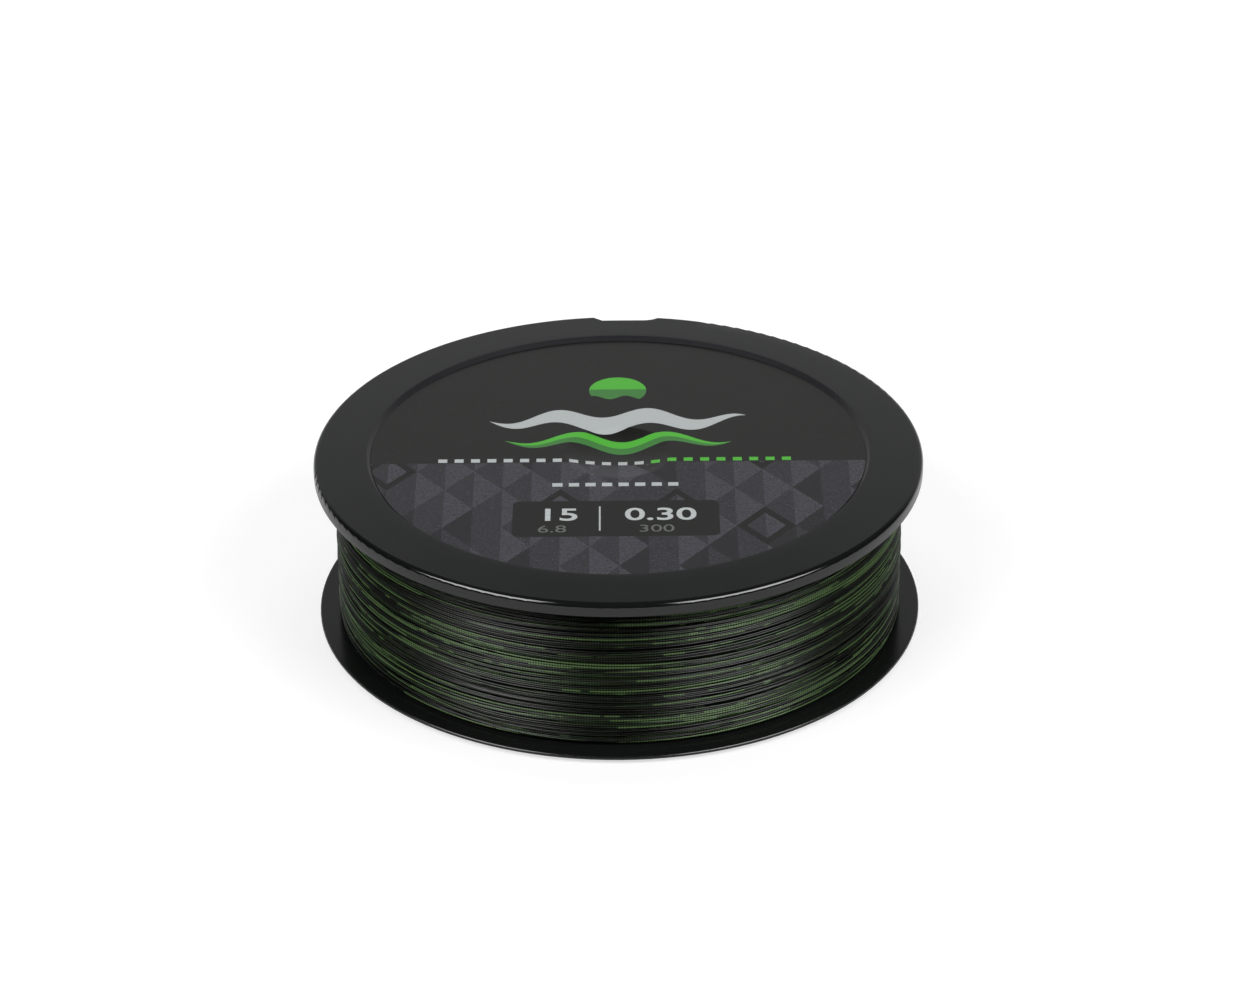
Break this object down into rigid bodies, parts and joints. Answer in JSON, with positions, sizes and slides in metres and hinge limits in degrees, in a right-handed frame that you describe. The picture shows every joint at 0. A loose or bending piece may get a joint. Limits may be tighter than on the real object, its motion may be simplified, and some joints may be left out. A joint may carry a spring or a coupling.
{
  "type": "fishing line spool",
  "caption": "Wide flat bulk spool of braided fishing line: ribbed snap-together drum between round flanges, dished printed film on top, notched rim, open bore below.",
  "frame": {"origin": "centre of the foot's face on the spool's axis", "axes": "+Z along the spool's axis, up through the printed face; +Y towards the line notch in the upper rim; +X to its right"},
  "size_m": [0.112, 0.112, 0.0329],
  "materials": {
    "drum_plastic": "satin black moulding",
    "flange_plastic": "satin black moulding",
    "label_film": "printed film, dark grey with light grey and green",
    "braid": "camouflage braid in green, dark green and near black"
  },
  "bodies": {
    "root": {"drum": "drum_plastic", "lower_flange": "flange_plastic", "upper_flange": "flange_plastic", "top_label": "label_film", "line_core": "braid", "line_outer_layer": "braid"}
  },
  "joints": []
}
